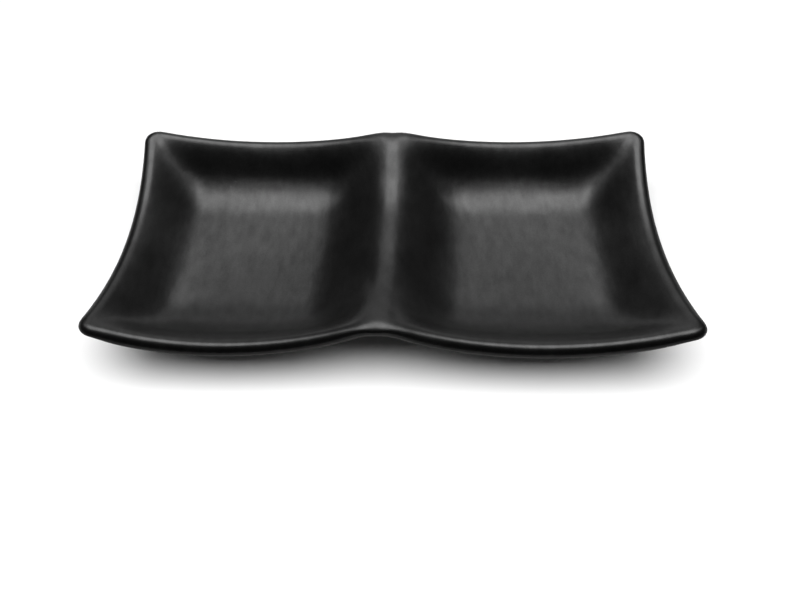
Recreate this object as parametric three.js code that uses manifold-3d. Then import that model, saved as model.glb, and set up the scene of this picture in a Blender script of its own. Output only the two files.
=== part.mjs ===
// Double ramekin: a shallow dish with two wells, pressed in one piece from clay, fired, and coated
// with a semi-matte black glaze that stops short of the two dry foot rings.
// Millimetres, +Z up, X along the dish. The origin is the middle of the plane it stands on.

import * as THREE from "three";
import { mergeVertices } from "three/addons/utils/BufferGeometryUtils.js";
import Module from "manifold-3d";

// Rim, measured along the line where the rounding of the lip begins.
const RIM_LENGTH = 149.2; // between the end corners
const RIM_WIDTH = 78.7; // between the long edges at the end corners
const CORNER_REACH = 2.4; // length of edge that each rounded corner takes up
const CORNER_RISE = 16; // end corners above the middle of the floor's thickness
const LONG_EDGE_BOW = 1.7; // outward swell of a long edge beside a well
const LONG_EDGE_SAG = 5.1; // dip of a long edge beside a well
const END_EDGE_TUCK = 2.4; // inward sweep of an end edge
const END_EDGE_SAG = 6.1; // dip of an end edge
const DIVIDER_TUCK = 0.9; // inward draw of a long edge where it crosses the divider
const DIVIDER_DROP = 0.1; // the crossing below the end corners
const DIVIDER_SAG = 6.8; // dip of the divider's crest between its two crossings
const DIVIDER_CROWDING = 1.7; // above 1 its steepest places lie closer to the crossings
const DIVIDER_OVERRUN = 3; // distance beyond the crossings at which it would run level again
const DIVIDER_LEAN = 3.2; // the front crossing stands this far to the left of the back one
const CROSSING_ROUND = 2.4; // softness of the hump in the rim at a crossing

// Sheet of glazed clay.
const WALL_THICKNESS = 3.8; // glaze on both faces included
const GLAZE_THICKNESS = 0.3;
const LIP_REACH = 2.5; // how far the lip's rounding stands out from the rim line
const LIP_DROP = 2.4; // depth of the upper part of that rounding, down to its widest place
const NOSE_REACH = 1; // extra reach of the lip's rounding over the divider, and loss of its drop
const NOSE_WIDTH = 8; // distance from the divider at which that extra has mostly faded
const WELL_SPACING = 73; // between the lowest points of the two wells
const FLOOR_DISH = 1.7; // how far the floor hollows towards those points

// Each wall follows one side of a bell curve. The run is its plan width from the lip or crest to
// the floor, the reach is how far beyond the lip the bell's top lies, and a larger fade draws the
// bell's foot out longer.
const LONG_WALL_RUN = 25.5;
const LONG_WALL_REACH = 7;
const LONG_WALL_FADE = 4.1;
const END_WALL_RUN = 18.5;
const END_WALL_REACH = 6;
const END_WALL_FADE = 3;
const DIVIDER_RUN = 28;
const DIVIDER_FADE = 5.6;
const SHOULDER_RUN = 9; // a narrower bell eases the long wall over a shoulder beside its lip
const SHOULDER_FADE = 2.3;
const SHOULDER_SHARE = 0.16; // share of the long wall's climb that follows the shoulder
const CREST_RUN = 8; // a narrower bell likewise draws the divider's crest to a finer edge
const CREST_FADE = 3;
const CREST_SHARE = 0.08;
const MEETING_SOFTNESS = 0.18; // at 0 two edges meet in a point, at 1 the sheet lies flat there

// Foot rings, one below each well.
const FOOT_HEIGHT = 2; // stands the glazed underside off the table
const FOOT_LENGTH = 38; // outside, along X
const FOOT_WIDTH = 46; // outside, along Y
const FOOT_CORNER = 10; // outside corner radius in plan
const FOOT_BAND = 3; // width of the ring itself
const FOOT_EDGE_ROUND = 0.5; // eased edge beside the bearing face
const GLAZE_LINE = 1; // height at which the glaze on the ring's sides stops

// Fineness of the faceted surface.
const INNER_STEPS = 9;
const OUTER_STEPS = 6;
const CORNER_STEPS = 4;
const END_STEPS = 5;
const RINGS = 8;
const RING_CROWDING = 1.6; // above 1 the rings lie closer towards the lip
const LIP_STEPS = 4;
const FOOT_CURVE_SEGMENTS = 3;
const SLOPE_PROBE = 0.01; // half step for reading the slope of the sheet

const halfLength = RIM_LENGTH / 2;
const halfWidth = RIM_WIDTH / 2;
const floorLevel = FOOT_HEIGHT + WALL_THICKNESS / 2;
const cornerLevel = floorLevel + CORNER_RISE;
const crossingLevel = cornerLevel - DIVIDER_DROP;
const wellMiddle = WELL_SPACING / 2;

// Share of the way from the divider to an end corner, rounded off over the divider.
function alongWell(x) {
  const rounded = (run) => Math.hypot(run, CROSSING_ROUND) - CROSSING_ROUND;
  return rounded(x) / rounded(halfLength);
}

// Extra rounding of the lip over the divider, fading along the long edge.
function dividerNose(x) {
  return NOSE_REACH * Math.exp(-((x / NOSE_WIDTH) ** 2));
}

// The long edge over a given x: it swells and sags beside the well and humps over the divider.
function longEdge(x) {
  const along = alongWell(x);
  const arch = 4 * along * (1 - along);
  return {
    y: halfWidth + LONG_EDGE_BOW * arch - DIVIDER_TUCK * (1 - along) - dividerNose(x),
    z: cornerLevel - LONG_EDGE_SAG * arch - DIVIDER_DROP * (1 - along),
  };
}

// The end edge beside a given y: a shallow arc, swept in and dipped at its middle.
function endEdge(y) {
  const arch = 1 - (y / halfWidth) ** 2;
  return {
    x: halfLength - END_EDGE_TUCK * arch,
    z: cornerLevel - END_EDGE_SAG * arch,
  };
}

// The crest of the divider, a saddle that is level in its middle and still rises at its crossings.
function dividerCrest(y) {
  const reach = longEdge(0).y;
  const saddle = (distance) => {
    const across = distance / (reach + DIVIDER_OVERRUN);
    return (1 + Math.cos(Math.PI * across ** DIVIDER_CROWDING)) / 2;
  };
  return crossingLevel - DIVIDER_SAG * (saddle(Math.abs(y)) - saddle(reach));
}

// Climb of a wall from 0 on the floor to 1 at its edge, along one side of a bell curve.
function wallClimb(inset, run, reach, fade) {
  const bell = (out) => Math.max(0, 1 - (out / (run + reach)) ** 2) ** fade;
  return bell(inset + reach) / bell(reach);
}

// Climb of a long wall, part of which is a low shoulder beside its lip.
function longWallClimb(inset) {
  const wall = wallClimb(inset, LONG_WALL_RUN, LONG_WALL_REACH, LONG_WALL_FADE);
  const shoulder = wallClimb(inset, SHOULDER_RUN, 0, SHOULDER_FADE);
  return wall + SHOULDER_SHARE * (shoulder - wall);
}

// Climb of either side of the divider.
function dividerClimb(inset) {
  const ridge = wallClimb(inset, DIVIDER_RUN, 0, DIVIDER_FADE);
  const crest = wallClimb(inset, CREST_RUN, 0, CREST_FADE);
  return ridge + CREST_SHARE * (crest - ridge);
}

// Height of the middle of the hollowed floor, as it would run on below the walls.
function floorHeight(x, y) {
  const hollow = (share) => Math.max(0, 1 - share ** 2) ** 2;
  const across = (Math.abs(x) - wellMiddle) / wellMiddle;
  const along = y / longEdge(x).y;
  return floorLevel + FLOOR_DISH * (1 - hollow(across) * hollow(along));
}

// Height of the middle of the sheet. A long wall rises from the floor along the dish, and an end
// wall or the divider rises across it. Where two walls meet, each gives way to the other as that
// one nears its edge, so both keep their slope up to the lip.
function sheetLevel(x, y) {
  const lip = longEdge(x);
  const end = endEdge(y);
  const floor = floorHeight(x, y);
  const longWall = longWallClimb(lip.y - Math.abs(y));
  const endWall = wallClimb(end.x - Math.abs(x), END_WALL_RUN, END_WALL_REACH, END_WALL_FADE);
  const divider = dividerClimb(Math.abs(x));
  const crossWall = endWall + divider;
  const longRise = longWall * (lip.z - floor);
  const crossRise = endWall * (end.z - floor) + divider * (dividerCrest(y) - floor);
  const give = 1 - MEETING_SOFTNESS / 2;
  const rise = longRise * (1 - give * crossWall) + crossRise * (1 - give * longWall);
  return floor + rise / (1 - (2 * give - 1) * longWall * crossWall);
}

// Sideways lean of the divider: nothing at the back edge and the corners, most at its front end.
function leaned(point) {
  const towardsFront = Math.max(0, (halfWidth - point.y) / RIM_WIDTH);
  const towardsMiddle = Math.max(0, 1 - (point.x / halfLength) ** 2);
  point.x -= DIVIDER_LEAN * towardsFront ** 2 * towardsMiddle;
  return point;
}

function sheetPoint(plan) {
  return new THREE.Vector3(plan.x, plan.y, sheetLevel(plan.x, plan.y));
}

function sheetNormal(plan) {
  const { x, y } = plan;
  const alongX = sheetLevel(x + SLOPE_PROBE, y) - sheetLevel(x - SLOPE_PROBE, y);
  const alongY = sheetLevel(x, y + SLOPE_PROBE) - sheetLevel(x, y - SLOPE_PROBE);
  return new THREE.Vector3(-alongX, -alongY, 2 * SLOPE_PROBE).normalize();
}

// Even steps from one value to another, without the last one.
function steps(from, to, count) {
  return Array.from({ length: count }, (_, i) => from + ((to - from) * i) / count);
}

// A quarter of the rim in plan, anticlockwise from the middle of the right end to the divider.
function quarterRim() {
  const endStop = halfWidth - CORNER_REACH;
  const longStop = halfLength - CORNER_REACH;
  const onEnd = (y) => new THREE.Vector2(endEdge(y).x, y);
  const onLong = (x) => new THREE.Vector2(x, longEdge(x).y);
  const corner = new THREE.QuadraticBezierCurve(
    onEnd(endStop),
    new THREE.Vector2(halfLength, halfWidth),
    onLong(longStop),
  );
  return [
    ...steps(0, endStop, END_STEPS).map(onEnd),
    ...steps(0, 1, CORNER_STEPS).map((t) => corner.getPoint(t)),
    ...steps(longStop, wellMiddle, OUTER_STEPS).map(onLong),
    ...steps(wellMiddle, 0, INNER_STEPS).map(onLong),
    onLong(0),
  ];
}

// The whole rim, from its quarter by reflection.
function wholeRim() {
  const quarter = quarterRim();
  const there = quarter.slice(0, -1);
  const back = quarter.slice(1).reverse();
  const flipped = (points, sx, sy) => points.map((p) => new THREE.Vector2(sx * p.x, sy * p.y));
  return [
    ...there,
    ...flipped(back, -1, 1),
    ...flipped(there, -1, -1),
    ...flipped(back, 1, -1),
  ];
}

// One ray for each rim point: plan points from the spine between the well middles out to the rim.
function planRays() {
  const shares = [...steps(1, 0, RINGS), 0].map((left) => 1 - left ** RING_CROWDING);
  return wholeRim().map((rim) => {
    const spine = new THREE.Vector2(THREE.MathUtils.clamp(rim.x, -wellMiddle, wellMiddle), 0);
    return shares.map((share) => spine.clone().lerp(rim, share));
  });
}

const rays = planRays();

// A closed surface from one run of points for each ray, each from the upper spine over the rim to
// the lower spine. Faces that collapse where neighbouring rays meet are left out.
function closedSurface(runs) {
  const vertices = [];
  const addFace = (a, b, c) => {
    if (a.equals(b) || b.equals(c) || c.equals(a)) return;
    vertices.push(a, b, c);
  };
  runs.forEach((run, i) => {
    const next = runs[(i + 1) % runs.length];
    for (let k = 0; k + 1 < run.length; k++) {
      if (run[k].distanceTo(next[k + 1]) < run[k + 1].distanceTo(next[k])) {
        addFace(run[k], run[k + 1], next[k + 1]);
        addFace(run[k], next[k + 1], next[k]);
      } else {
        addFace(run[k], run[k + 1], next[k]);
        addFace(run[k + 1], next[k + 1], next[k]);
      }
    }
  });
  return new THREE.BufferGeometry().setFromPoints(vertices);
}

// The sheet grown by a given distance to each side of its middle, with a round lip. The lip is two
// quarter ellipses that meet at its widest place, which lies off the middle by the seat.
function sheetOfHalfThickness(half) {
  const runs = rays.map((ray, i) => {
    const offset = (plan, side) =>
      sheetPoint(plan).addScaledVector(sheetNormal(plan), side * half);
    const rim = ray.at(-1);
    const before = sheetPoint(rays.at(i - 1).at(-1));
    const after = sheetPoint(rays[(i + 1) % rays.length].at(-1));
    const normal = sheetNormal(rim);
    const outward = after.sub(before).cross(normal).normalize();
    const seat = WALL_THICKNESS / 2 - LIP_DROP + dividerNose(rim.x);
    const reach = LIP_REACH + dividerNose(rim.x) - (WALL_THICKNESS / 2 - half);
    const lip = steps(0, Math.PI, LIP_STEPS)
      .slice(1)
      .map((angle) => {
        const depth = angle < Math.PI / 2 ? half - seat : half + seat;
        return sheetPoint(rim)
          .addScaledVector(normal, seat + depth * Math.cos(angle))
          .addScaledVector(outward, reach * Math.sin(angle));
      });
    const upper = ray.map((plan) => offset(plan, 1));
    const lower = ray.map((plan) => offset(plan, -1));
    return [...upper, ...lip, ...lower.reverse()].map(leaned);
  });
  return closedSurface(runs);
}

// Everything from the table up to the middle of the sheet, which trims the foot rings.
function spaceBelowSheet() {
  const onTable = (plan) => new THREE.Vector3(plan.x, plan.y, 0);
  const upAndOver = (ray) => [...ray.map(sheetPoint), ...ray.map(onTable).reverse()];
  return closedSurface(rays.map((ray) => upAndOver(ray).map(leaned)));
}

function roundedRectangle(path, length, width, radius) {
  const x = length / 2 - radius;
  const y = width / 2 - radius;
  const quarter = Math.PI / 2;
  path.absarc(x, y, radius, 0, quarter);
  path.absarc(-x, y, radius, quarter, 2 * quarter);
  path.absarc(-x, -y, radius, 2 * quarter, 3 * quarter);
  path.absarc(x, -y, radius, 3 * quarter, 4 * quarter);
  path.closePath();
  return path;
}

// The plan of a foot ring's outside, moved in by a given distance.
function footOutline(path, inset) {
  return roundedRectangle(
    path,
    FOOT_LENGTH - 2 * inset,
    FOOT_WIDTH - 2 * inset,
    FOOT_CORNER - inset,
  );
}

// An upright prism on a foot outline, from a given height to above the sheet.
function footPrism(shape, x, bottom, edgeRound) {
  const geometry = new THREE.ExtrudeGeometry(shape, {
    depth: crossingLevel - bottom - edgeRound,
    curveSegments: FOOT_CURVE_SEGMENTS,
    bevelEnabled: edgeRound > 0,
    bevelThickness: edgeRound,
    bevelSize: edgeRound,
    bevelOffset: -edgeRound,
    bevelSegments: 2,
  });
  return geometry.translate(x, 0, bottom + edgeRound);
}

function footRing(x, bottom, coat, edgeRound) {
  const shape = footOutline(new THREE.Shape(), -coat);
  shape.holes.push(footOutline(new THREE.Path(), FOOT_BAND + coat));
  return footPrism(shape, x, bottom, edgeRound);
}

const wasm = await Module();
wasm.setup();

function solidOf(geometry) {
  const bare = geometry.clone();
  bare.deleteAttribute("normal");
  bare.deleteAttribute("uv");
  const merged = mergeVertices(bare);
  return new wasm.Manifold(
    new wasm.Mesh({
      numProp: 3,
      vertProperties: new Float32Array(merged.attributes.position.array),
      triVerts: new Uint32Array(merged.index.array),
    }),
  );
}

function geometryOf(solid) {
  const { vertProperties, triVerts } = solid.getMesh();
  const geometry = new THREE.BufferGeometry();
  geometry.setAttribute("position", new THREE.BufferAttribute(vertProperties, 3));
  geometry.setIndex(new THREE.BufferAttribute(triVerts, 1));
  geometry.computeVertexNormals();
  return geometry;
}

const belowSheet = solidOf(spaceBelowSheet());
const footPlaces = { left: -wellMiddle, right: wellMiddle };

// Fired clay: the sheet less its glaze, with the two foot rings grown from its underside.
let clayBody = solidOf(sheetOfHalfThickness(WALL_THICKNESS / 2 - GLAZE_THICKNESS));
for (const x of Object.values(footPlaces)) {
  const ring = solidOf(footRing(x, 0, 0, FOOT_EDGE_ROUND));
  clayBody = clayBody.add(ring.intersect(belowSheet));
}

// Glaze: the skin left between the full sheet, with sleeves on the foot rings, and the clay.
let glaze = solidOf(sheetOfHalfThickness(WALL_THICKNESS / 2));
for (const x of Object.values(footPlaces)) {
  const sleeve = solidOf(footRing(x, GLAZE_LINE, GLAZE_THICKNESS, 0));
  glaze = glaze.add(sleeve.intersect(belowSheet));
}
glaze = glaze.subtract(clayBody);

const clay = new THREE.MeshStandardMaterial({ color: "#a39581", roughness: 0.9, metalness: 0 });
const blackGlaze = new THREE.MeshStandardMaterial({
  color: "#161616",
  roughness: 0.45,
  metalness: 0,
});

const dish = new THREE.Group();

function addPiece(name, solid, material) {
  const piece = new THREE.Mesh(geometryOf(solid), material.clone());
  piece.name = name;
  dish.add(piece);
}

addPiece("clay_body", clayBody, clay);

// The glaze inside each foot ring is cut off from the rest by the ring.
for (const [side, x] of Object.entries(footPlaces)) {
  const middleOfBand = footOutline(new THREE.Shape(), FOOT_BAND / 2);
  const core = solidOf(footPrism(middleOfBand, x, 0, 0)).intersect(belowSheet);
  addPiece(`${side}_base_glaze`, glaze.intersect(core), blackGlaze);
  glaze = glaze.subtract(core);
}

addPiece("glaze_coat", glaze, blackGlaze);

export default dish;
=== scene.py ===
# %% [markdown]
# A double ramekin in black glaze.
# The dish is one sheet of clay, pressed so that its edges sweep up into four corners and its
# middle folds up into a ridge between two shallow wells. It is dipped in black glaze and fired,
# standing on two dry foot rings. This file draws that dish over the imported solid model, gives it
# its finish, and sets it on a white table under soft light. The solid model is loaded first, and
# its outside box is kept, because the finer shape drawn here must stay inside it.

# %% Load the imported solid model
import math

import bmesh
import bpy
import numpy as np
from mathutils import Matrix, Vector


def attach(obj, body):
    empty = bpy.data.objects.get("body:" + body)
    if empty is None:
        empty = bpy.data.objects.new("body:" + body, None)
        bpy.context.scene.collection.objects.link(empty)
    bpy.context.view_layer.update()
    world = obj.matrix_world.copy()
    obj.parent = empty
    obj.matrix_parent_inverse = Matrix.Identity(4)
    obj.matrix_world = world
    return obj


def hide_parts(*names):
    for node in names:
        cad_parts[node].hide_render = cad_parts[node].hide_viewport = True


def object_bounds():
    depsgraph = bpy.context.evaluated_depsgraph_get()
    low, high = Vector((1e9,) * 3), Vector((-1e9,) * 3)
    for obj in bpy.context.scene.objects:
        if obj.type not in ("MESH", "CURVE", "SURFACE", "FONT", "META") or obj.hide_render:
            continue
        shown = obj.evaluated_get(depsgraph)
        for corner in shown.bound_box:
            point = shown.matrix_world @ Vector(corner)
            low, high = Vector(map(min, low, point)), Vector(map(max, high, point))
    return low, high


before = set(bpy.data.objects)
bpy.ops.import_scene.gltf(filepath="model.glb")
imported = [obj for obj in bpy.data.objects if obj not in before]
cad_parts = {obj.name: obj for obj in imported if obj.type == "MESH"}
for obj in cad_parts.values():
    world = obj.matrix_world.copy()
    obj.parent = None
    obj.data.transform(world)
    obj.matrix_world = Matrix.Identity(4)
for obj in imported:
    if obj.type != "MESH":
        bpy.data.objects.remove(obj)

solid_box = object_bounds()
print("solid model box, mm:", [[round(1000 * v, 2) for v in corner] for corner in solid_box])

# %% [markdown]
# The rim.
# On the real dish the lip is the first thing that is designed: a rectangle whose four corners are
# lifted, with the edges sagging between them. It could be drawn as a curve by hand, but every
# other line of the dish follows from it, so it is written as plain functions: one for a long edge
# with its dip over each well, one for an end, and one for the crest of the ridge that divides the
# wells. Sizes are in millimetres, along the line where the rounding of the lip begins.

# %% Sizes of the rim
RIM_LENGTH = 149.2  # between the end corners
RIM_WIDTH = 78.7  # between the long edges at the end corners
CORNER_RISE = 16.0  # end corners above the middle of the floor's thickness
LONG_EDGE_BOW = 1.7  # outward swell of a long edge beside a well
LONG_EDGE_SAG = 5.1
END_EDGE_TUCK = 2.4  # inward sweep of an end edge
END_EDGE_SAG = 6.1
DIVIDER_TUCK = 0.9  # inward draw of a long edge where the ridge meets it
DIVIDER_DROP = 0.1  # that meeting below the end corners
DIVIDER_SAG = 6.8  # dip of the ridge between its two ends
DIVIDER_CROWDING = 1.7  # above 1 the ridge is steepest nearer its ends
DIVIDER_OVERRUN = 3.0  # distance beyond its ends at which it would run level again
CROSSING_ROUND = 2.4  # softness of the hump in the rim over the ridge
NOSE_REACH = 1.0  # how much fuller the lip is over the ridge
NOSE_WIDTH = 8.0
WALL_THICKNESS = 3.8  # glaze on both faces included
WELL_SPACING = 73.0  # between the lowest points of the two wells
FOOT_HEIGHT = 2.0

half_length = RIM_LENGTH / 2
half_width = RIM_WIDTH / 2
well_middle = WELL_SPACING / 2
floor_level = FOOT_HEIGHT + WALL_THICKNESS / 2
corner_level = floor_level + CORNER_RISE
crossing_level = corner_level - DIVIDER_DROP
print("end corners of the rim at a height of", round(corner_level, 2), "mm")


# %% Rim, ends and ridge as functions
def along_well(x):
    """0 at the ridge, 1 at the end of the dish, with no kink on the ridge."""
    run = np.hypot(x, CROSSING_ROUND) - CROSSING_ROUND
    return run / (math.hypot(half_length, CROSSING_ROUND) - CROSSING_ROUND)


def ridge_nose(x):
    """How much fuller the lip is at the ends of the ridge than elsewhere."""
    return NOSE_REACH * np.exp(-((x / NOSE_WIDTH) ** 2))


def long_edge(x):
    """Distance from the middle and height of a long edge."""
    along = along_well(x)
    arch = 4 * along * (1 - along)
    y = half_width + LONG_EDGE_BOW * arch - DIVIDER_TUCK * (1 - along) - ridge_nose(x)
    z = corner_level - LONG_EDGE_SAG * arch - DIVIDER_DROP * (1 - along)
    return y, z


def end_edge(y):
    """Distance from the middle and height of an end edge."""
    arch = 1 - (y / half_width) ** 2
    return half_length - END_EDGE_TUCK * arch, corner_level - END_EDGE_SAG * arch


def ridge_saddle(distance):
    """1 in the middle of the ridge, falling towards 0 some way beyond the lips."""
    across = distance / (long_edge(0.0)[0] + DIVIDER_OVERRUN)
    return (1 + np.cos(np.pi * across**DIVIDER_CROWDING)) / 2


def ridge_crest(y):
    """Height of the ridge between the wells, level in its middle and rising to both lips."""
    saddle = ridge_saddle(np.abs(y)) - ridge_saddle(long_edge(0.0)[0])
    return crossing_level - DIVIDER_SAG * saddle


print("lip height over a well's middle:", round(float(long_edge(well_middle)[1]), 2), "mm")
print("ridge height in the middle:", round(float(ridge_crest(0.0)), 2), "mm")

# %% [markdown]
# Walls.
# A pressed sheet has no separate walls: floor, walls and ridge run into each other in one sweep.
# A sculpted mesh could give that look, but it would have no sizes. Here each wall follows one side
# of a bell curve. The run is its width in plan, the reach is how far beyond the lip the top of the
# bell lies, and a larger fade draws its foot out longer. A second, narrower bell eases the long
# walls over a shoulder beside the lip, and another draws the ridge to a finer crest.

# %% Walls as bell curves
LONG_WALL_RUN = 25.5
LONG_WALL_REACH = 7.0
LONG_WALL_FADE = 4.1
END_WALL_RUN = 18.5
END_WALL_REACH = 6.0
END_WALL_FADE = 3.0
DIVIDER_RUN = 28.0
DIVIDER_FADE = 5.6
SHOULDER_RUN = 9.0
SHOULDER_FADE = 2.3
SHOULDER_SHARE = 0.16  # share of the long wall's climb that follows the shoulder
CREST_RUN = 8.0
CREST_FADE = 3.0
CREST_SHARE = 0.08


def wall_climb(inset, run, reach, fade):
    """1 at an edge, falling to 0 at a distance of run from it."""
    outside = np.maximum(0, 1 - ((inset + reach) / (run + reach)) ** 2) ** fade
    return outside / (1 - (reach / (run + reach)) ** 2) ** fade


def long_wall_climb(inset):
    """The climb of a long wall, steepest just below a soft shoulder at the lip."""
    wall = wall_climb(inset, LONG_WALL_RUN, LONG_WALL_REACH, LONG_WALL_FADE)
    shoulder = wall_climb(inset, SHOULDER_RUN, 0.0, SHOULDER_FADE)
    return wall + SHOULDER_SHARE * (shoulder - wall)


def ridge_climb(inset):
    """The climb of either side of the ridge, which ends in a finer crest."""
    ridge = wall_climb(inset, DIVIDER_RUN, 0.0, DIVIDER_FADE)
    crest = wall_climb(inset, CREST_RUN, 0.0, CREST_FADE)
    return ridge + CREST_SHARE * (crest - ridge)


print("long wall's climb half way in:", round(float(long_wall_climb(LONG_WALL_RUN / 2)), 3))

# %% [markdown]
# Where walls meet.
# In the corners of a well two walls run into each other, and at its ends the ridge runs into the
# lip. Taking the higher of the two would leave a hard crease, and adding them up would lift the
# rim. So each wall gives way to the other as that one nears its own edge. The rim stays where it
# was designed, and the meeting is as soft as clay leaves a press. The floor is barely dished.

# %% Height of the sheet
FLOOR_DISH = 1.7
MEETING_SOFTNESS = 0.18  # at 0 two edges meet in a point, at 1 the sheet lies flat there


def floor_height(x, y):
    """The floor of a well, lowest in its middle."""
    along = np.maximum(0, 1 - ((np.abs(x) - well_middle) / well_middle) ** 2) ** 2
    across = np.maximum(0, 1 - (y / long_edge(x)[0]) ** 2) ** 2
    return floor_level + FLOOR_DISH * (1 - along * across)


def sheet_level(x, y):
    """Height of the middle of the clay at a place in plan."""
    floor = floor_height(x, y)
    lip_y, lip_z = long_edge(x)
    end_x, end_z = end_edge(y)
    long_wall = long_wall_climb(lip_y - np.abs(y))
    end_wall = wall_climb(end_x - np.abs(x), END_WALL_RUN, END_WALL_REACH, END_WALL_FADE)
    ridge = ridge_climb(np.abs(x))
    long_rise = long_wall * (lip_z - floor)
    cross_rise = end_wall * (end_z - floor) + ridge * (ridge_crest(y) - floor)
    cross_wall = end_wall + ridge
    give = 1 - MEETING_SOFTNESS / 2
    rise = long_rise * (1 - give * cross_wall) + cross_rise * (1 - give * long_wall)
    return floor + rise / (1 - (2 * give - 1) * long_wall * cross_wall)


print("floor in a well's middle:", round(float(sheet_level(well_middle, 0.0)), 2), "mm")

# %% [markdown]
# Faces, end corners and the lean of the ridge.
# The faces of the dish lie at an even distance above and below the middle of the clay, so a point
# on a face is found by stepping square to the sheet. Only right at the four end corners is the
# sheet finer, which is taken off its underside. The ridge of this dish leans slightly to one side
# towards the front, as hand-pressed ware does. That lean is a small shift of all points at the
# end, which keeps every other rule simple. The foot rings stand true, so the last helper searches
# for the point of a face that lies exactly below a given place.

# %% Points on the faces of the sheet
DIVIDER_LEAN = 3.2  # the ridge's front end stands this far to the left of its back end
SLOPE_PROBE = 0.01  # half step for reading the slope of the sheet
CORNER_THINNING = 1.0
THINNING_WIDTH = 5.5  # distance from the corner at which the thinning has mostly faded
FACE_SEARCHES = 12
PROBE_PLACE = (20.0, -15.0)


def leaned(points):
    """The points with the ridge's lean put in."""
    moved = points.copy()
    towards_front = np.maximum(0, (half_width - points[..., 1]) / RIM_WIDTH) ** 2
    towards_middle = np.maximum(0, 1 - (points[..., 0] / half_length) ** 2)
    moved[..., 0] -= DIVIDER_LEAN * towards_front * towards_middle
    return moved


def sheet_upright(plan):
    """Unit directions square to the sheet."""
    x, y = plan[..., 0], plan[..., 1]
    step = SLOPE_PROBE
    slope_x = (sheet_level(x + step, y) - sheet_level(x - step, y)) / (2 * step)
    slope_y = (sheet_level(x, y + step) - sheet_level(x, y - step)) / (2 * step)
    upright = np.stack([-slope_x, -slope_y, np.ones_like(slope_x)], axis=-1)
    return upright / np.linalg.norm(upright, axis=-1, keepdims=True)


def corner_thinning(plan):
    """How much thinner the sheet is near an end corner, taken off its underside."""
    tip = np.array([half_length, half_width])
    away = np.linalg.norm(tip - np.abs(plan), axis=-1, keepdims=True)
    return CORNER_THINNING * np.exp(-((away / THINNING_WIDTH) ** 2))


def face_points(plan, height):
    """Points above (or, if negative, below) the middle of the clay, not leaned yet."""
    level = sheet_level(plan[..., 0], plan[..., 1])
    offset = height if height >= 0 else height + corner_thinning(plan)
    return np.concatenate([plan, level[..., None]], axis=-1) + offset * sheet_upright(plan)


def face_over(place, height):
    """The points of a face that lie exactly over or under places in plan, with the lean."""
    plan = place.copy()
    for _ in range(FACE_SEARCHES):
        plan += place - leaned(face_points(plan, height))[..., :2]
    return leaned(face_points(plan, height))


probe = face_over(np.array([PROBE_PLACE]), -WALL_THICKNESS / 2)[0]
print("underside below", PROBE_PLACE, "is at", round(float(probe[2]), 4), "mm")

# %% [markdown]
# Rays.
# The mesh of a hand-modelled dish would follow its form: lines running from the bottom of each
# well out to the lip, and rings around it. The same layout is laid out here. Each half of the dish
# has a fan of rays from its well's middle to the lip and to the ridge, close together where the
# outline turns tightly. The second half is the first one turned half round.

# %% Rays of one half
CORNER_REACH = 2.4  # length of edge that each rounded corner takes up
END_STEPS = 18
CORNER_STEPS = 10
LONG_STEPS = 44
LONG_CROWDING = 1.2  # above 1 the rays of a long edge lie closer towards the ridge
RIDGE_STEPS = 40


def rim_plan():
    """The lip of the right half in plan, from the front of the ridge round to its back."""
    end_stop = half_width - CORNER_REACH
    long_stop = half_length - CORNER_REACH
    across = np.linspace(0, end_stop, END_STEPS, endpoint=False)
    end = np.column_stack([end_edge(across)[0], across])
    before = np.array([end_edge(end_stop)[0], end_stop])
    tip = np.array([half_length, half_width])
    after = np.array([long_stop, long_edge(long_stop)[0]])
    turn = np.linspace(0, 1, CORNER_STEPS, endpoint=False)[:, None]
    corner = (1 - turn) ** 2 * before + 2 * turn * (1 - turn) * tip + turn**2 * after
    along = long_stop * np.linspace(1, 0, LONG_STEPS + 1) ** LONG_CROWDING
    edge = np.column_stack([along, long_edge(along)[0]])
    back = np.concatenate([end, corner, edge])
    front = back[:0:-1] * [1, -1]
    return np.concatenate([front, back])


def half_outline(side):
    """Lip and ridge of one half in plan, anticlockwise, the lip first."""
    rim = rim_plan()
    across = np.linspace(rim[-1, 1], rim[0, 1], RIDGE_STEPS + 1)[1:-1]
    ridge = np.column_stack([np.zeros_like(across), across])
    return side * np.concatenate([rim, ridge])


lip_rays = len(rim_plan())
print("rays in one half:", len(half_outline(1)), "of them", lip_rays, "to the lip")

# %% [markdown]
# Floor and lip as rows.
# A row is one ring of points, one on every ray. Rows of the upper face run out from the well's
# middle to the rim. A lip of fired clay is fully round, because the glaze pulls it smooth, so from
# there the rows turn over it: a quarter of an ellipse down to its widest place and a flatter one
# back under. The lip is fuller over the ridge and finer at the end corners. The solid model is made
# of flat facets and so a hair smaller than these smooth rows. The last line finds by how much the
# drawn dish is drawn in to stay inside the solid's box.

# %% Rows of the upper face and the lip
MM = 0.001
TOP_ROWS = 28
TOP_CROWDING = 1.25  # above 1 the rows lie closer towards the rim
LIP_ROWS = 10
LIP_REACH = 2.5  # how far the lip's rounding stands out from the rim
LIP_DROP = 2.4  # depth of the upper part of that rounding, down to its widest place


def top_rows(side, height):
    """Rows of the upper face from near the well's middle to the rim."""
    outline = half_outline(side)
    middle = np.array([side * well_middle, 0.0])
    shares = 1 - (1 - np.arange(1, TOP_ROWS + 1) / TOP_ROWS) ** TOP_CROWDING
    return [leaned(face_points(middle + share * (outline - middle), height)) for share in shares]


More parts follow.
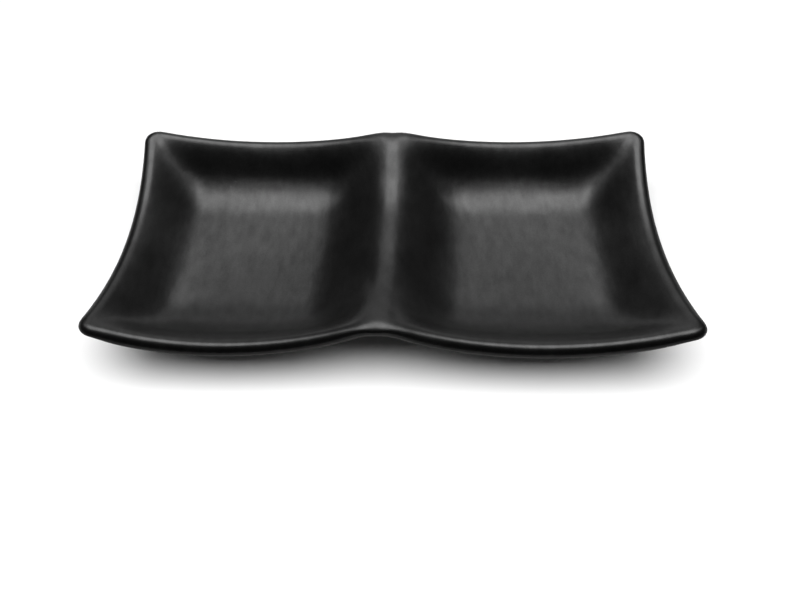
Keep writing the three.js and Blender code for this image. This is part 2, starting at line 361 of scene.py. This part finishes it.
def lip_rows(side, height):
    """Rows round the lip, between the upper face and the underside."""
    plan = half_outline(side)[:lip_rays]
    centre = face_points(plan, 0.0)
    mirror = np.array([-1.0, 1.0, 1.0])
    line = np.concatenate([[centre[1] * mirror], centre, [centre[-2] * mirror]])
    tangent = line[2:] - line[:-2]
    upright = sheet_upright(plan)
    outward = np.cross(tangent, upright)
    outward /= np.linalg.norm(outward, axis=1, keepdims=True)
    nose = ridge_nose(plan[:, :1])
    thinning = corner_thinning(plan)
    seat = WALL_THICKNESS / 2 - LIP_DROP + nose + thinning / 2
    reach = LIP_REACH + nose - (WALL_THICKNESS / 2 - height)
    rows = []
    for turn in np.pi * np.arange(1, LIP_ROWS) / LIP_ROWS:
        depth = height - seat if turn < np.pi / 2 else height - thinning + seat
        rise = depth * np.cos(turn)
        rows.append(leaned(centre + (seat + rise) * upright + reach * np.sin(turn) * outward))
    return rows


def outside_rows(side):
    """The rows that reach farthest out and up."""
    return [*top_rows(side, WALL_THICKNESS / 2), *lip_rows(side, WALL_THICKNESS / 2)]


outermost = np.concatenate([row for side in (1, -1) for row in outside_rows(side)])
fit = np.minimum(1, np.array(solid_box[1]) / MM / np.abs(outermost).max(axis=0))
print("drawn dish is fitted to the solid by", np.round(fit, 5))

# %% [markdown]
# Foot rings.
# Each well stands on a low ring, a rectangle with round corners, which is wiped clean of glaze so
# that the dish does not stick to the kiln shelf. A turned or pressed ring joins the underside in a
# small hollow curve, and its own edges are eased. A rounded rectangle is also a set of rays: for
# every ray the distance to it is worked out, and a ring a little larger or smaller is the same
# rectangle with both its size and its corner grown.

# %% Outlines of a foot ring
FOOT_LENGTH = 38.0  # outside
FOOT_WIDTH = 46.0
FOOT_CORNER = 10.0  # outside corner radius in plan
FOOT_HOLLOW = 0.8  # radius of the hollow curve
LEAST_AIM = 1e-9  # keeps a ray along an axis from dividing by zero


def ray_directions(side):
    """Directions in plan from a foot ring's middle to the lip and the ridge."""
    away = leaned(face_points(half_outline(side), 0.0))[:, :2] - [side * well_middle, 0.0]
    return away / np.linalg.norm(away, axis=1, keepdims=True)


def foot_outline(side, outset):
    """The foot ring's outside grown by outset, one point in plan on every ray."""
    ray = ray_directions(side)
    half = np.array([FOOT_LENGTH, FOOT_WIDTH]) / 2 + outset
    corner = FOOT_CORNER + outset
    knee = half - corner
    aim = np.abs(ray)
    straight = np.min(half / np.maximum(aim, LEAST_AIM), axis=1)
    towards = aim @ knee
    round_reach = towards + np.sqrt(np.maximum(0, towards**2 - knee @ knee + corner**2))
    in_corner = np.all(aim * straight[:, None] > knee, axis=1)
    reach = np.where(in_corner, round_reach, straight)
    return ray * reach[:, None] + [side * well_middle, 0.0]


def at_height(plan, z):
    """Points in plan lifted to a height."""
    return np.column_stack([plan, np.broadcast_to(z, len(plan))])


def hollow_row(side, height, face, step, turn):
    """One row of the hollow curve between a face of the foot ring and the underside."""
    plan = foot_outline(side, face + step * FOOT_HOLLOW * (1 - math.sin(turn)))
    under = face_over(plan, -height)[:, 2]
    return at_height(plan, under - FOOT_HOLLOW * (1 - math.cos(turn)))


print("foot ring corner on its rays:", np.round(foot_outline(1, 0.0).max(axis=0), 2))

# %% [markdown]
# The underside.
# From the lip the underside runs in to the foot ring, turns down through the hollow curve and
# follows the ring's outer face as far as the glaze line. Inside the ring the same happens the
# other way round. The glaze line is wiped by hand, so it wanders by about a tenth of a millimetre.

# %% Rows of the underside
GLAZE_THICKNESS = 0.3
GLAZE_LINE = 1.0  # height at which the glaze on the ring's sides stops
SLOW_WANDER, SLOW_WAVES = 0.06, 3  # height, and waves in one turn round the ring
QUICK_WANDER, QUICK_WAVES = 0.04, 8
EDGE_LIFT = 0.3  # share of its thickness by which the skin's outside stops higher
FOOT_BAND = 3.0  # width of the ring itself
HOLLOW_STEPS = 4
UNDER_ROWS = 18
BASE_SHARES = (0.8, 0.6, 0.4, 0.2)  # rows inside the ring, as shares of the way to its edge

clay_height = WALL_THICKNESS / 2 - GLAZE_THICKNESS
glaze_height = WALL_THICKNESS / 2
turns_down = np.linspace(0, math.pi / 2, HOLLOW_STEPS + 1)


def glaze_line(side):
    """Height of the wiped glaze line on every ray."""
    ray = ray_directions(side)
    angle = np.arctan2(ray[:, 1], ray[:, 0])
    slow = SLOW_WANDER * np.sin(SLOW_WAVES * angle + side)
    return GLAZE_LINE + slow + QUICK_WANDER * np.sin(QUICK_WAVES * angle)


def under_rows(side, height, outset):
    """Rows of the underside, from the rim in to the foot ring and down to the glaze line."""
    rim = leaned(face_points(half_outline(side), -height))
    way_in = foot_outline(side, outset + FOOT_HOLLOW) - rim[:, :2]
    shares = np.arange(1, UNDER_ROWS) / UNDER_ROWS
    rows = [rim]
    rows += [face_over(rim[:, :2] + share * way_in, -height) for share in shares]
    rows += [hollow_row(side, height, outset, 1, turn) for turn in turns_down]
    rows.append(at_height(foot_outline(side, outset), glaze_line(side) + EDGE_LIFT * outset))
    return rows


def base_rows(side, height, outset):
    """Rows inside the foot ring, from the glaze line up and in to the middle."""
    face = -FOOT_BAND - outset
    rows = [at_height(foot_outline(side, face), glaze_line(side) + EDGE_LIFT * outset)]
    rows += [hollow_row(side, height, face, -1, turn) for turn in turns_down[::-1]]
    edge = rows[-1][:, :2]
    middle = np.array([side * well_middle, 0.0])
    rows += [face_over(middle + share * (edge - middle), -height) for share in BASE_SHARES]
    return rows


def middle_point(side, height):
    """The point of a face over a foot ring's middle."""
    return face_over(np.array([[side * well_middle, 0.0]]), height)[0]


base_gap = round(float(middle_point(1, -glaze_height)[2]), 2)
print("base of the dish over the table:", base_gap, "mm")

# %% [markdown]
# Nets.
# Each piece is a closed net of rows: two neighbouring rows are joined by four-sided faces. Rows are
# always laid in the order in which a finger would pass over the piece, from the floor over the lip
# to the underside, so all faces look outwards. The two halves are welded along the ridge, and each
# net is counted for open edges before it is used.

# %% A small net builder
WELD = 1e-7


class Net:
    """Rows of points, joined by faces, that become one mesh."""

    def __init__(self):
        self.points = []
        self.faces = []

    def add(self, row):
        """Adds a row of points and returns their numbers."""
        first = len(self.points)
        self.points.extend(tuple(float(v) for v in point) for point in row)
        return list(range(first, len(self.points)))

    def join(self, rows, closed=True):
        """Joins each row to the following one."""
        for row, following in zip(rows, rows[1:]):
            for i in range(len(row) if closed else len(row) - 1):
                j = (i + 1) % len(row)
                self.faces.append((row[i], following[i], following[j], row[j]))

    def close_start(self, centre, row):
        """Closes the first row with a fan of triangles."""
        middle = self.add([centre])[0]
        self.faces += [(middle, row[i - 1], row[i]) for i in range(len(row))]

    def close_end(self, row, centre):
        """Closes the last row with a fan of triangles."""
        middle = self.add([centre])[0]
        self.faces += [(row[i - 1], middle, row[i]) for i in range(len(row))]

    def piece(self, name):
        """Welds the net into a smooth mesh, counts its open edges and returns the object."""
        mesh = bpy.data.meshes.new(name)
        mesh.from_pydata((MM * fit * np.array(self.points)).tolist(), [], self.faces)
        work = bmesh.new()
        work.from_mesh(mesh)
        bmesh.ops.remove_doubles(work, verts=work.verts, dist=WELD)
        open_edges = sum(1 for edge in work.edges if len(edge.link_faces) != 2)
        for face in work.faces:
            face.smooth = True
        work.to_mesh(mesh)
        volume = round(work.calc_volume(signed=True) / MM**3)
        work.free()
        made = bpy.data.objects.new(name, mesh)
        bpy.context.scene.collection.objects.link(made)
        print(name, len(mesh.polygons), "faces,", open_edges, "open edges,", volume, "mm3")
        return made


print("points closer than", WELD, "m are welded")

# %% [markdown]
# The fired clay.
# Under the glaze is a buff clay dish with its foot rings in one piece. Only the bottoms of the
# rings show, but the whole body is drawn, because the clay is what the glaze lies on. The net runs
# over the floor, round the lip, in along the underside, round the dry ring and up into the base.

# %% Clay body
FOOT_EDGE_ROUND = 0.5  # eased edge beside the face that the ring stands on
EASE_STEPS = 4


def lay_sheet(net, side, height, outset, inward=False):
    """Lays floor, lip and underside of one half. Returns the row at the glaze line."""
    top = [net.add(row) for row in top_rows(side, height)]
    lip = [net.add(row) for row in lip_rows(side, height)]
    under = [net.add(row) for row in under_rows(side, height, outset)]
    over_lip = [top[-1][:lip_rays], *lip, under[0][:lip_rays]]
    middle = leaned(face_points(np.array([[side * well_middle, 0.0]]), height))[0]
    if inward:
        net.join(under[::-1])
        net.join(over_lip[::-1], closed=False)
        net.join(top[::-1])
        net.close_end(top[0], middle)
    else:
        net.close_start(middle, top[0])
        net.join(top)
        net.join(over_lip, closed=False)
        net.join(under)
    return under[-1]


def ring_bottom_rows(side):
    """Rows round the dry bottom of a foot ring."""
    eased = [(FOOT_EDGE_ROUND * (1 - math.cos(turn)), FOOT_EDGE_ROUND * (1 - math.sin(turn)))
             for turn in np.linspace(0, math.pi / 2, EASE_STEPS + 1)]
    inner = [(FOOT_BAND - inset, z) for inset, z in eased[::-1]]
    across = [*eased, (FOOT_BAND / 2, 0.0), *inner]
    return [at_height(foot_outline(side, -inset), z) for inset, z in across]


net = Net()
for side in (1, -1):
    outside = lay_sheet(net, side, clay_height, 0.0)
    ring = [net.add(row) for row in ring_bottom_rows(side)]
    base = [net.add(row) for row in base_rows(side, clay_height, 0.0)]
    net.join([outside, *ring, *base])
    net.close_end(base[-1], middle_point(side, -clay_height))
clay_body = net.piece("fired_clay_body")
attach(clay_body, "root")
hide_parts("clay_body")

# %% [markdown]
# The black glaze.
# Glaze is a thin skin of glass melted onto the clay. It could be a colour painted on the clay, but
# a skin with its own thickness shows a true rounded edge at the glaze line and can be taken off as
# a piece. Its net passes over the outside of the skin, turns round the wiped edge and comes back
# along the clay. The dry foot rings part it into one large coat and a small pool inside each ring.

# %% Glaze coat
EDGE_TURN = ((0.85, 0.1), (0.6, 0.02))  # out from the clay and up, as shares of the thickness


def edge_rows(side, face, step):
    """Rows round the wiped edge of the glaze, from its outside to the clay."""
    line = glaze_line(side)
    rows = []
    for out, lift in EDGE_TURN:
        plan = foot_outline(side, face + step * GLAZE_THICKNESS * out)
        rows.append(at_height(plan, line + lift * GLAZE_THICKNESS))
    return rows


net = Net()
for side in (1, -1):
    outside = lay_sheet(net, side, glaze_height, GLAZE_THICKNESS)
    edge = [net.add(row) for row in edge_rows(side, 0.0, 1)]
    inside = lay_sheet(net, side, clay_height, 0.0, inward=True)
    net.join([outside, *edge, inside])
glaze_coat = net.piece("black_glaze_coat")
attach(glaze_coat, "root")
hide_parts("glaze_coat")

# %% Glaze inside the foot rings
base_glazes = []
for side, hand in ((1, "right"), (-1, "left")):
    net = Net()
    shown = [net.add(row) for row in base_rows(side, glaze_height, GLAZE_THICKNESS)]
    hidden = [net.add(row) for row in base_rows(side, clay_height, 0.0)]
    edge = [net.add(row) for row in edge_rows(side, -FOOT_BAND, -1)]
    net.join([*hidden[::-1], *edge[::-1], *shown])
    net.close_end(shown[-1], middle_point(side, -glaze_height))
    net.close_start(middle_point(side, -clay_height), hidden[-1])
    pool = net.piece(hand + "_black_base_glaze")
    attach(pool, "root")
    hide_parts(hand + "_base_glaze")
    base_glazes.append(pool)

# %% [markdown]
# Nodes.
# A material in Blender is a tree of nodes: patterns go in on one side and a shader comes out on the
# other. The same few nodes come back in every finish here, so each gets a small helper that adds
# it, links its inputs and returns its output. That keeps the recipes of the finishes short.

# %% Helpers for patterns
NOISE_RANGE = (0.3, 0.7)  # where nearly all values of a noise pattern lie


def noise(nodes, links, coordinates, scale, detail):
    """A noise pattern on the given coordinates."""
    pattern = nodes.new("ShaderNodeTexNoise")
    pattern.inputs["Scale"].default_value = scale
    pattern.inputs["Detail"].default_value = detail
    links.new(coordinates, pattern.inputs["Vector"])
    return pattern.outputs["Fac"]


def spread(nodes, links, value, source, target):
    """A value's range, stretched to another range."""
    node = nodes.new("ShaderNodeMapRange")
    node.inputs["From Min"].default_value, node.inputs["From Max"].default_value = source
    node.inputs["To Min"].default_value, node.inputs["To Max"].default_value = target
    links.new(value, node.inputs["Value"])
    return node.outputs["Result"]


def combine(nodes, links, operation, first, second):
    """Two values put together by arithmetic."""
    node = nodes.new("ShaderNodeMath")
    node.operation = operation
    links.new(first, node.inputs[0])
    links.new(second, node.inputs[1])
    return node.outputs[0]


def two_tone(nodes, links, value, source, dark, light):
    """A colour between two tones, by a value's place in a range."""
    ramp = nodes.new("ShaderNodeValToRGB")
    for element, position, tone in zip(ramp.color_ramp.elements, source, (dark, light)):
        element.position = position
        element.color = (*tone, 1.0)
    links.new(value, ramp.inputs["Fac"])
    return ramp.outputs["Color"]


print("noise is used between", *NOISE_RANGE)


# %% Helpers for bumps and materials
def bump(nodes, links, height, depth, under=None):
    """A bump of the given depth in metres, laid over another one."""
    node = nodes.new("ShaderNodeBump")
    node.inputs["Strength"].default_value = 1.0
    node.inputs["Distance"].default_value = depth
    links.new(height, node.inputs["Height"])
    if under is not None:
        links.new(under, node.inputs["Normal"])
    return node.outputs["Normal"]


def new_material(name):
    """A material with its node tree and its main shader."""
    material = bpy.data.materials.new(name)
    material.use_nodes = True
    nodes = material.node_tree.nodes
    return material, nodes, material.node_tree.links, nodes["Principled BSDF"]


print("finishes of this dish: black_glaze, fired_clay")

# %% [markdown]
# The finish of the glaze.
# The glaze is a black, semi-matte glass. Nearly all that is seen of it is the soft reflection of
# the lamps, so sheen, roughness and small bumps matter far more than colour. Four things break up
# the reflection of a real one: slow waves where the glaze ran before it set, a mottled sheen drawn
# out across the dish, a fine grain of tiny crystals that make it matte, and a few pinholes left by
# gas. All are patterns in the dish's own space, so they need no picture and stay put when the dish
# is turned.

# %% Patterns in the glaze
STREAK_SCALES = (1.0, 0.4, 1.0)  # draws waves and mottle out along the dish's width
WAVE_SCALE, WAVE_DETAIL = 230.0, 2.0
MOTTLE_SCALE, MOTTLE_DETAIL = 420.0, 4.0
GRAIN_SCALE, GRAIN_DETAIL = 2200.0, 3.0
CLOUD_SCALE, CLOUD_DETAIL = 60.0, 3.0
PINHOLE_SCALE = 260.0
PINHOLE_EDGE = (0.02, 0.09)  # distance from its middle, in cells, over which a pinhole rises
PINHOLE_CHOICE = (0.55, 0.6)  # cells whose own random tone lies above this have one

black_glaze, nodes, links, shader = new_material("black_glaze")
in_dish = nodes.new("ShaderNodeTexCoord").outputs["Object"]
streaked = nodes.new("ShaderNodeMapping")
streaked.inputs["Scale"].default_value = STREAK_SCALES
links.new(in_dish, streaked.inputs["Vector"])
along_streaks = streaked.outputs["Vector"]
waves = noise(nodes, links, along_streaks, WAVE_SCALE, WAVE_DETAIL)
mottle = noise(nodes, links, along_streaks, MOTTLE_SCALE, MOTTLE_DETAIL)
grain = noise(nodes, links, in_dish, GRAIN_SCALE, GRAIN_DETAIL)
cloud = noise(nodes, links, in_dish, CLOUD_SCALE, CLOUD_DETAIL)
cells = nodes.new("ShaderNodeTexVoronoi")
cells.inputs["Scale"].default_value = PINHOLE_SCALE
links.new(in_dish, cells.inputs["Vector"])
bare_cells = spread(nodes, links, cells.outputs["Color"], PINHOLE_CHOICE, (1.0, 0.0))
all_pits = spread(nodes, links, cells.outputs["Distance"], PINHOLE_EDGE, (0.0, 1.0))
pinholes = combine(nodes, links, "MAXIMUM", all_pits, bare_cells)
print("patterns in the glaze: waves, mottle, grain, cloud, pinholes")

# %% Black glaze material
WAVE_DEPTH = 0.00008
GRAIN_DEPTH = 0.000008
PINHOLE_DEPTH = 0.00002
ROUGHNESS = (0.28, 0.35)
SHEEN = (0.42, 0.58)
SHEEN_GRAIN = (0.91, 1.09)
DEEP_BLACK = (0.003, 0.003, 0.003)
SOFT_BLACK = (0.006, 0.006, 0.006)
GLASS_IOR = 1.5

normal = bump(nodes, links, waves, WAVE_DEPTH)
normal = bump(nodes, links, grain, GRAIN_DEPTH, normal)
normal = bump(nodes, links, pinholes, PINHOLE_DEPTH, normal)
links.new(normal, shader.inputs["Normal"])
roughness = spread(nodes, links, cloud, NOISE_RANGE, ROUGHNESS)
links.new(roughness, shader.inputs["Roughness"])
mottled_sheen = spread(nodes, links, mottle, NOISE_RANGE, SHEEN)
grained_sheen = spread(nodes, links, grain, NOISE_RANGE, SHEEN_GRAIN)
sheen = combine(nodes, links, "MULTIPLY", mottled_sheen, grained_sheen)
links.new(sheen, shader.inputs["Specular IOR Level"])
tone = two_tone(nodes, links, cloud, NOISE_RANGE, DEEP_BLACK, SOFT_BLACK)
links.new(tone, shader.inputs["Base Color"])
shader.inputs["IOR"].default_value = GLASS_IOR
for piece in (glaze_coat, *base_glazes):
    piece.data.materials.append(black_glaze)
print("glazed pieces:", 1 + len(base_glazes))

# %% [markdown]
# The finish of the clay.
# The dry rings show the clay as it left the kiln: buff and quite rough, with darker specks of iron.
# A plain colour would look like plastic, so a fine noise gives the grit, and a second, coarser one
# gives the specks wherever it falls low.

# %% Fired clay material
GRIT_SCALE, GRIT_DETAIL, GRIT_DEPTH = 1800.0, 4.0, 0.00004
SPECK_SCALE, SPECK_DETAIL = 900.0, 1.0
SPECK_RANGE = (0.28, 0.42)
IRON_SPECK = (0.12, 0.085, 0.055)
BUFF_CLAY = (0.37, 0.305, 0.22)
CLAY_ROUGHNESS = (0.8, 0.95)

fired_clay, nodes, links, shader = new_material("fired_clay")
in_dish = nodes.new("ShaderNodeTexCoord").outputs["Object"]
grit = noise(nodes, links, in_dish, GRIT_SCALE, GRIT_DETAIL)
specks = noise(nodes, links, in_dish, SPECK_SCALE, SPECK_DETAIL)
buff = two_tone(nodes, links, specks, SPECK_RANGE, IRON_SPECK, BUFF_CLAY)
links.new(buff, shader.inputs["Base Color"])
links.new(bump(nodes, links, grit, GRIT_DEPTH), shader.inputs["Normal"])
roughness = spread(nodes, links, grit, NOISE_RANGE, CLAY_ROUGHNESS)
links.new(roughness, shader.inputs["Roughness"])
clay_body.data.materials.append(fired_clay)
print("clay pieces: 1")

# %% [markdown]
# The table.
# The dish stands on a white table that runs on into a white background, with a short dark shadow
# under the front lip. Near the dish the table is plain pale paint under lamps of its own, so that
# the shadow is a real one. Only the camera sees that paint so pale: the glaze mirrors it as a
# darker grey, because the walls of the real dish mirror little light. Farther off, where those
# lamps fade, the table is simply shown as white to the camera and to whatever mirrors it. That
# white gives no light, so the black glaze is lit no more than by its own lamps.

# %% Mesh of the table
TABLE_SIZE = 8.0

half_table = TABLE_SIZE / 2
corners = [(-half_table, -half_table, 0), (half_table, -half_table, 0),
           (half_table, half_table, 0), (-half_table, half_table, 0)]
table_mesh = bpy.data.meshes.new("table")
table_mesh.from_pydata(corners, [], [(0, 1, 2, 3)])
table = bpy.data.objects.new("table", table_mesh)
bpy.context.scene.collection.objects.link(table)
print("table:", TABLE_SIZE, "m")

# %% White paint of the table
PAINT_SHOWN = 0.8
PAINT_MIRRORED = 0.25
WHITE_DISTANCES = (0.2, 0.35)  # from the dish, where the plain white begins and is full


def even_shader(nodes, kind, grey):
    """The output of a shader of one even grey."""
    node = nodes.new(kind)
    node.inputs["Color"].default_value = (grey, grey, grey, 1.0)
    return node.outputs[0]


def mix(nodes, links, share, first, second):
    """Two shaders mixed, the first at a share of 0 and the second at 1."""
    node = nodes.new("ShaderNodeMixShader")
    for socket, value in zip(node.inputs, (share, first, second)):
        links.new(value, socket)
    return node.outputs[0]


table_white, nodes, links, shader = new_material("table_white")
nodes.remove(shader)
paint = even_shader(nodes, "ShaderNodeBsdfDiffuse", PAINT_SHOWN)
mirrored_paint = even_shader(nodes, "ShaderNodeBsdfDiffuse", PAINT_MIRRORED)
far_white = even_shader(nodes, "ShaderNodeEmission", 1.0)
path = nodes.new("ShaderNodeLightPath").outputs
near = mix(nodes, links, path["Is Camera Ray"], mirrored_paint, paint)
away = nodes.new("ShaderNodeVectorMath")
away.operation = "LENGTH"
links.new(nodes.new("ShaderNodeTexCoord").outputs["Object"], away.inputs[0])
far_off = spread(nodes, links, away.outputs["Value"], WHITE_DISTANCES, (0.0, 1.0))
seen = combine(nodes, links, "MAXIMUM", path["Is Camera Ray"], path["Is Glossy Ray"])
seen = combine(nodes, links, "MAXIMUM", seen, path["Is Transmission Ray"])
far_share = combine(nodes, links, "MULTIPLY", far_off, seen)
whole = mix(nodes, links, far_share, near, far_white)
links.new(whole, nodes["Material Output"].inputs["Surface"])
table_white.cycles.emission_sampling = "NONE"
table.data.materials.append(table_white)
print("table is plain white beyond", WHITE_DISTANCES[1], "m")

# %% [markdown]
# Light.
# The floors of the wells mirror a large soft lamp high behind the dish, and below it a wide dim
# surface that reaches down to the horizon, which the front of the ridge shows. Area lamps repeat
# this, because the size of a lamp decides how soft its edge looks in the glaze. The high lamp has
# two dimmer wings on each side, so that its light fades out over the end walls. Lamps that lie in
# front of each other would hide each other in the glaze, so they all lie side by side. The short
# shadow says that the table was lit from overhead, so it has a lamp of its own and a broad faint
# one, both shaded by the dish but not falling on it.

# %% Lamps
HIGH_RISE, HIGH_HEIGHT = 68.4, 0.55
NEAR_BY, FAR_OFF = 0.9, 1.5

# Name, metres aside, degrees above the table, then distance, width and height in metres, and
# brightness, where 1 is as bright as the white background
DISH_LAMPS = (
    ("high_soft_lamp", 0.0, HIGH_RISE, NEAR_BY, 0.66, HIGH_HEIGHT, 4.6),
    ("left_inner_wing", -0.40, HIGH_RISE, NEAR_BY, 0.14, HIGH_HEIGHT, 2.3),
    ("left_outer_wing", -0.56, HIGH_RISE, NEAR_BY, 0.18, HIGH_HEIGHT, 0.7),
    ("right_inner_wing", 0.40, HIGH_RISE, NEAR_BY, 0.14, HIGH_HEIGHT, 2.3),
    ("right_outer_wing", 0.56, HIGH_RISE, NEAR_BY, 0.18, HIGH_HEIGHT, 0.7),
    ("low_back_lamp", 0.0, 31.0, NEAR_BY, 0.60, 0.66, 0.54),
    ("horizon_lamp", 0.0, 5.0, NEAR_BY, 1.1, 0.15, 0.40),
)
TABLE_LAMPS = (
    ("table_lamp", 0.0, 106.0, NEAR_BY, 1.40, 0.70, 5.7),
    ("table_fill", 0.0, 90.0, FAR_OFF, 6.0, 6.0, 0.12),
)


def soft_lamp(lights, name, aside, elevation, distance, width, height, brightness):
    """A lamp aimed at the dish, of even brightness over its face, that lights some objects only."""
    lamp = bpy.data.lights.new(name, "AREA")
    lamp.shape = "RECTANGLE"
    lamp.size = width
    lamp.size_y = height
    lamp.energy = brightness * math.pi * width * height  # watts that give this brightness
    holder = bpy.data.objects.new(name, lamp)
    rise = math.radians(elevation)
    holder.location = (aside, distance * math.cos(rise), distance * math.sin(rise))
    holder.rotation_euler = (-Vector(holder.location)).to_track_quat("-Z", "Y").to_euler()
    holder.light_linking.receiver_collection = lights
    bpy.context.scene.collection.objects.link(holder)
    print(name, round(lamp.energy, 2), "W at", [round(v, 2) for v in holder.location])


lit_dish = bpy.data.collections.new("lit_dish")
for piece in (clay_body, glaze_coat, *base_glazes):
    lit_dish.objects.link(piece)
lit_table = bpy.data.collections.new("lit_table")
lit_table.objects.link(table)
for lamp in DISH_LAMPS:
    soft_lamp(lit_dish, *lamp)
for lamp in TABLE_LAMPS:
    soft_lamp(lit_table, *lamp)

# %% [markdown]
# The room.
# What the lamps leave unlit, the glaze mirrors as a dim room, a little darker on the near side. It
# could be built of walls, but the world around the scene does the same with one strength for each
# direction. To the camera the world is white, like the table that runs out to it.

# %% Dim room and white background
ROOM_SIDES = (-0.6, 0.1)  # directions from near to far over which the room grows lighter
ROOM_STRENGTHS = (0.015, 0.045)

world = bpy.data.worlds.new("studio")
bpy.context.scene.world = world
world.use_nodes = True
nodes, links = world.node_tree.nodes, world.node_tree.links
room = nodes["Background"]
room.inputs["Color"].default_value = (1.0, 1.0, 1.0, 1.0)
sides = nodes.new("ShaderNodeSeparateXYZ")
links.new(nodes.new("ShaderNodeTexCoord").outputs["Generated"], sides.inputs[0])
room_light = spread(nodes, links, sides.outputs["Y"], ROOM_SIDES, ROOM_STRENGTHS)
links.new(room_light, room.inputs["Strength"])
white = even_shader(nodes, "ShaderNodeBackground", 1.0)
seen = nodes.new("ShaderNodeLightPath").outputs["Is Camera Ray"]
around = mix(nodes, links, seen, room.outputs[0], white)
links.new(around, nodes["World Output"].inputs["Surface"])
print("room strength from", *ROOM_STRENGTHS)

# %% [markdown]
# Camera.
# The view was found by laying the rim of the dish over its outline in the photo: the camera looks
# down at 45 degrees from close by, turned and rolled by a degree or two. The dish is not in the
# middle of the picture, so the lens is shifted instead of turning the camera.

# %% Where the camera stands
VIEW_ELEVATION = math.radians(45.0)
VIEW_TURN = math.radians(-2.196)
VIEW_ROLL = math.radians(-1.317)
VIEW_DISTANCE = 231.688  # millimetres, as are the next two
VIEW_ASIDE = -4.109
VIEW_UP = -12.326

forward = Vector((0.0, math.cos(VIEW_ELEVATION), -math.sin(VIEW_ELEVATION)))
aside = Vector((1.0, 0.0, 0.0))
upward = Vector((0.0, math.sin(VIEW_ELEVATION), math.cos(VIEW_ELEVATION)))
stand = -VIEW_DISTANCE * forward + VIEW_ASIDE * aside + VIEW_UP * upward
rolled_aside = math.cos(VIEW_ROLL) * aside + math.sin(VIEW_ROLL) * upward
rolled_upward = math.cos(VIEW_ROLL) * upward - math.sin(VIEW_ROLL) * aside
turned = Matrix.Rotation(-VIEW_TURN, 3, "Z")
place = turned @ stand * MM + Vector((0.0, 0.0, corner_level * MM))
axes = Matrix((turned @ rolled_aside, turned @ rolled_upward, turned @ -forward)).transposed()
print("camera at", [round(v, 3) for v in place], "m")

# %% Lens and picture
PICTURE_WIDTH = 811
PICTURE_HEIGHT = 605
FOCAL_PIXELS = 838.3
CENTRE_ACROSS = 377.5  # the lens axis in the picture, in pixels
CENTRE_DOWN = 268.0
SENSOR_WIDTH = 36.0
NEAREST_SEEN = 0.01

lens = bpy.data.cameras.new("camera")
lens.sensor_width = SENSOR_WIDTH
lens.lens = FOCAL_PIXELS * SENSOR_WIDTH / PICTURE_WIDTH
lens.shift_x = (PICTURE_WIDTH / 2 - CENTRE_ACROSS) / PICTURE_WIDTH
lens.shift_y = (CENTRE_DOWN - PICTURE_HEIGHT / 2) / PICTURE_WIDTH
lens.clip_start = NEAREST_SEEN
camera = bpy.data.objects.new("camera", lens)
camera.matrix_world = Matrix.Translation(place) @ axes.to_4x4()
bpy.context.scene.collection.objects.link(camera)
bpy.context.scene.camera = camera
bpy.context.scene.view_settings.view_transform = "Standard"
print("lens", round(lens.lens, 2), "mm, shifted by", round(lens.shift_x, 4), round(lens.shift_y, 4))
